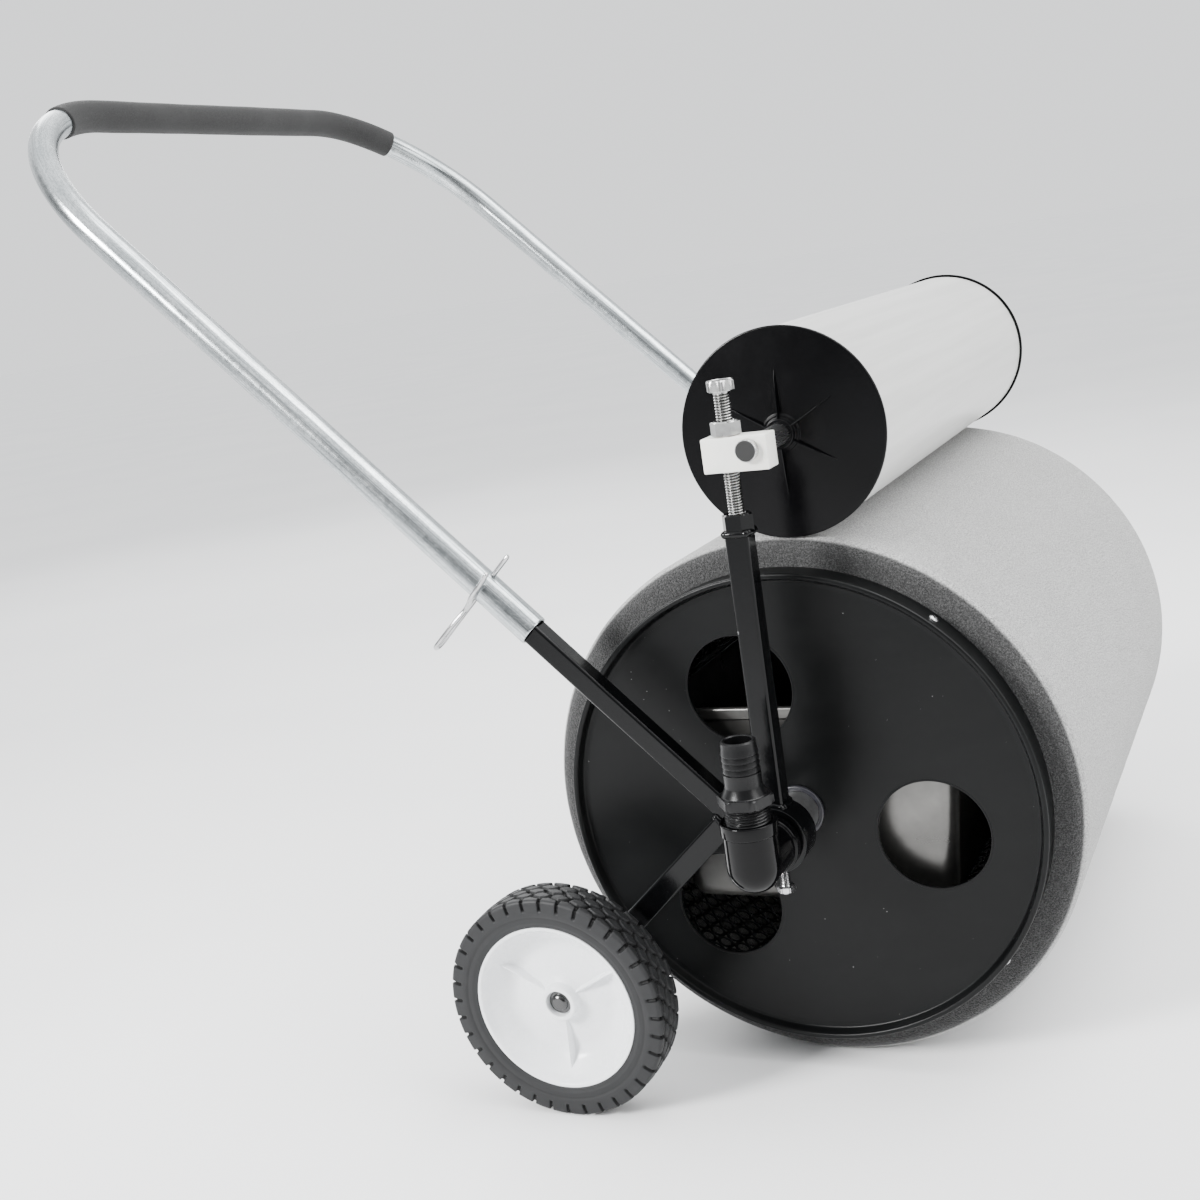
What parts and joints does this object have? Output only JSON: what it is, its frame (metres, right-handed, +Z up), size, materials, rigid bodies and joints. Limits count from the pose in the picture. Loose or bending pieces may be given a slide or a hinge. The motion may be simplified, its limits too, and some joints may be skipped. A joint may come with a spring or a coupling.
{
  "type": "water removal roller",
  "caption": "Push-along foam drum roller with a squeeze roller above, side wheels, bent tube handle and hollow axle drain elbow with hose barb.",
  "frame": {"origin": "on the floor, at the middle of the part's bounding box", "axes": "+X to the side with the drain, along the drum axle; +Y forward, away from the handle; +Z up"},
  "size_m": [0.838, 0.8698, 0.8629],
  "materials": {
    "frame_paint": "gloss black enamel",
    "stainless": "bright stainless",
    "zinc_bolt": "bright zinc plate",
    "zinc_tube": "drawn tube with zinc plate",
    "grip_foam": "dark grey foam grip, matt",
    "pipe_steel": "dull galvanised pipe",
    "fitting_plastic": "satin black plastic",
    "tray_steel": "pale grey sheet",
    "axle_steel": "black coated steel",
    "spacer_nylon": "white nylon",
    "block_nylon": "white nylon",
    "shaft_steel": "turned bar",
    "roller_plastic": "pale grey tube, satin",
    "cap_plastic": "gloss black plastic",
    "shell_steel": "dark perforated sheet",
    "drum_foam": "open celled grey foam",
    "plate_paint": "semi gloss black, scuffed",
    "bush_plastic": "pale plastic bush",
    "hub_plastic": "white plastic",
    "tyre_rubber": "black rubber",
    "barb_plastic": "grey black plastic"
  },
  "bodies": {
    "frame": {"collar_right": "frame_paint", "collar_left": "frame_paint", "leg_tube_right": "frame_paint", "leg_tube_left": "frame_paint", "upright_right": "frame_paint", "upright_left": "frame_paint", "wheel_arm_right": "frame_paint", "wheel_arm_left": "frame_paint", "weld_nut_right": "frame_paint", "weld_nut_left": "frame_paint", "adjuster_bolt_right": "stainless", "adjuster_bolt_left": "stainless", "set_bolt_right": "zinc_bolt", "set_bolt_left": "zinc_bolt", "handle_tube": "zinc_tube", "handle_grip": "grip_foam", "hitch_clip_right": "zinc_bolt", "hitch_clip_left": "zinc_bolt", "axle_pipe": "pipe_steel", "pipe_cap": "fitting_plastic", "drip_tray": "tray_steel", "tray_rings": "pipe_steel", "wheel_axle_right": "axle_steel", "wheel_axle_left": "axle_steel", "wheel_spacer_right": "spacer_nylon", "wheel_spacer_left": "spacer_nylon", "push_nut_right": "axle_steel", "push_nut_left": "axle_steel"},
    "press_carriage": {"slide_block_right": "block_nylon", "slide_block_left": "block_nylon", "press_shaft": "shaft_steel"},
    "nut_right": {"adjuster_nut_right": "stainless"},
    "nut_left": {"adjuster_nut_left": "stainless"},
    "press_roller": {"press_tube": "roller_plastic", "press_cap_right": "cap_plastic", "press_cap_left": "cap_plastic"},
    "drum": {"drum_shell": "shell_steel", "foam_sleeve": "drum_foam", "end_plate_right": "plate_paint", "end_plate_left": "plate_paint", "plate_screws": "zinc_bolt", "bushing_right": "bush_plastic", "bushing_left": "bush_plastic"},
    "wheel_right": {"wheel_hub_right": "hub_plastic", "tyre_right": "tyre_rubber"},
    "wheel_left": {"wheel_hub_left": "hub_plastic", "tyre_left": "tyre_rubber"},
    "drain": {"drain_elbow": "fitting_plastic", "hose_barb": "barb_plastic"}
  },
  "joints": [
    {"name": "drum_spin", "type": "hinge", "parent": "frame", "child": "drum", "pos_m": [0, 0.22089, 0.214], "axis": [1, 0, 0], "continuous": true},
    {"name": "press_adjust", "type": "slide", "parent": "frame", "child": "press_carriage", "axis": [0, 0, 1], "range_m": [0, 0.016]},
    {"name": "press_spin", "type": "hinge", "parent": "press_carriage", "child": "press_roller", "pos_m": [0, 0.23889, 0.50474], "axis": [1, 0, 0], "continuous": true},
    {"name": "nut_turn_right", "type": "hinge", "parent": "press_carriage", "child": "nut_right", "pos_m": [0.341, 0.22089, 0.52074], "axis": [0, 0, 1], "range_deg": [0, 3300]},
    {"name": "nut_turn_left", "type": "hinge", "parent": "press_carriage", "child": "nut_left", "pos_m": [-0.341, 0.22089, 0.52074], "axis": [0, 0, 1], "range_deg": [0, 3300]},
    {"name": "wheel_spin_right", "type": "hinge", "parent": "frame", "child": "wheel_right", "pos_m": [0.388, 0.04189, 0.0915], "axis": [1, 0, 0], "continuous": true},
    {"name": "wheel_spin_left", "type": "hinge", "parent": "frame", "child": "wheel_left", "pos_m": [-0.388, 0.04189, 0.0915], "axis": [1, 0, 0], "continuous": true},
    {"name": "drain_swivel", "type": "hinge", "parent": "frame", "child": "drain", "pos_m": [0.398, 0.22089, 0.214], "axis": [1, 0, 0], "range_deg": [-120, 120]}
  ],
  "couplings": [
    {"joint": "press_spin", "follows": "drum_spin", "ratio": -2.7792},
    {"joint": "nut_turn_right", "follows": "press_adjust", "rad_per_m": 3590.4},
    {"joint": "nut_turn_left", "follows": "press_adjust", "rad_per_m": 3590.4}
  ]
}
